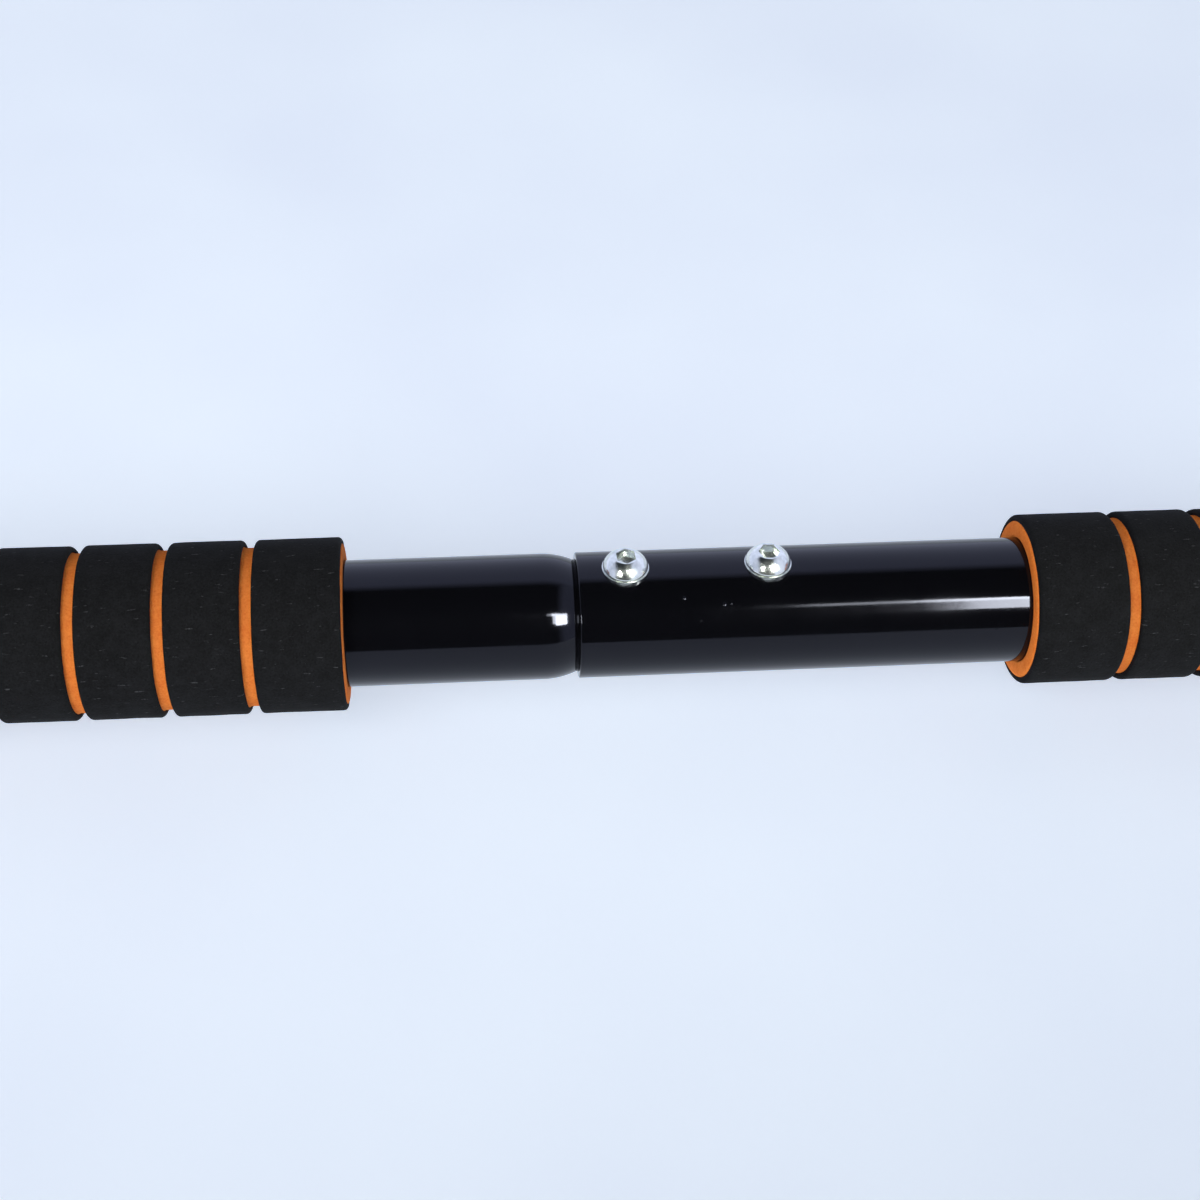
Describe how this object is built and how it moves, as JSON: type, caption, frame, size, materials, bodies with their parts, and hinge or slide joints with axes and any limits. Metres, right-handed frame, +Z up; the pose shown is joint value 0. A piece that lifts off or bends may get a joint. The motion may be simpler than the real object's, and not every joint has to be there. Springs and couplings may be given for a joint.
{
  "type": "doorway pull-up bar",
  "caption": "Straight doorway pull-up bar in black steel tube with a screwed spigot joint, banded foam grips, and screw-out ends that carry hand knobs and round rubber feet.",
  "frame": {"origin": "on the bar's axis, midway between the two screws of the tube joint, which is also the bar's middle", "axes": "+X runs right along the bar, +Z is up, the side of the joint screws' heads, and +Y points away from a person who faces the bar with +X to their right"},
  "size_m": [0.784, 0.068, 0.068],
  "materials": {
    "tube_paint": "gloss black powder coat",
    "joint_zinc": "bright zinc plate",
    "grip_orange_foam": "matte orange closed-cell foam rubber",
    "grip_black_foam": "matte black closed-cell foam rubber, ground surface",
    "bush_zinc": "turned steel, zinc plate",
    "rivet_steel": "plain steel, satin",
    "screw_zinc": "rolled thread, zinc plate, light grease",
    "knob_plastic": "moulded nylon, fine spark texture",
    "pin_steel": "spring steel, oiled",
    "washer_nylon": "natural white nylon",
    "cup_paint": "gloss black powder coat",
    "foot_zinc": "zinc plate",
    "pad_rubber": "matte moulded rubber"
  },
  "bodies": {
    "bar": {"left_tube": "tube_paint", "right_tube": "tube_paint", "left_joint_screw": "joint_zinc", "right_joint_screw": "joint_zinc", "left_head_washer": "joint_zinc", "right_head_washer": "joint_zinc", "left_weld_nut": "joint_zinc", "right_weld_nut": "joint_zinc", "left_grip_core": "grip_orange_foam", "right_grip_core": "grip_orange_foam", "left_grip_bands": "grip_black_foam", "right_grip_bands": "grip_black_foam", "left_end_bush": "bush_zinc", "right_end_bush": "bush_zinc", "left_bush_rivets": "rivet_steel", "right_bush_rivets": "rivet_steel"},
    "left_foot": {"left_foot_cup": "cup_paint", "left_foot_pad": "pad_rubber"},
    "left_screw": {"left_end_screw": "screw_zinc", "left_knob": "knob_plastic", "left_knob_pin": "pin_steel", "left_thrust_washer": "washer_nylon", "left_foot_washer": "foot_zinc", "left_foot_screw": "foot_zinc"},
    "right_foot": {"right_foot_cup": "cup_paint", "right_foot_pad": "pad_rubber"},
    "right_screw": {"right_end_screw": "screw_zinc", "right_knob": "knob_plastic", "right_knob_pin": "pin_steel", "right_thrust_washer": "washer_nylon", "right_foot_washer": "foot_zinc", "right_foot_screw": "foot_zinc"}
  },
  "joints": [
    {"name": "left_foot_travel", "type": "slide", "parent": "bar", "child": "left_foot", "axis": [-1, 0, 0], "range_m": [0, 0.05]},
    {"name": "left_screw_turn", "type": "hinge", "parent": "left_foot", "child": "left_screw", "pos_m": [-0.33, 0, 0], "axis": [-1, 0, 0], "range_deg": [0, 4501]},
    {"name": "right_foot_travel", "type": "slide", "parent": "bar", "child": "right_foot", "axis": [1, 0, 0], "range_m": [0, 0.05]},
    {"name": "right_screw_turn", "type": "hinge", "parent": "right_foot", "child": "right_screw", "pos_m": [0.33, 0, 0], "axis": [1, 0, 0], "range_deg": [0, 4501]}
  ],
  "couplings": [
    {"joint": "left_screw_turn", "follows": "left_foot_travel", "rad_per_m": 1570.8},
    {"joint": "right_screw_turn", "follows": "right_foot_travel", "rad_per_m": 1570.8}
  ]
}
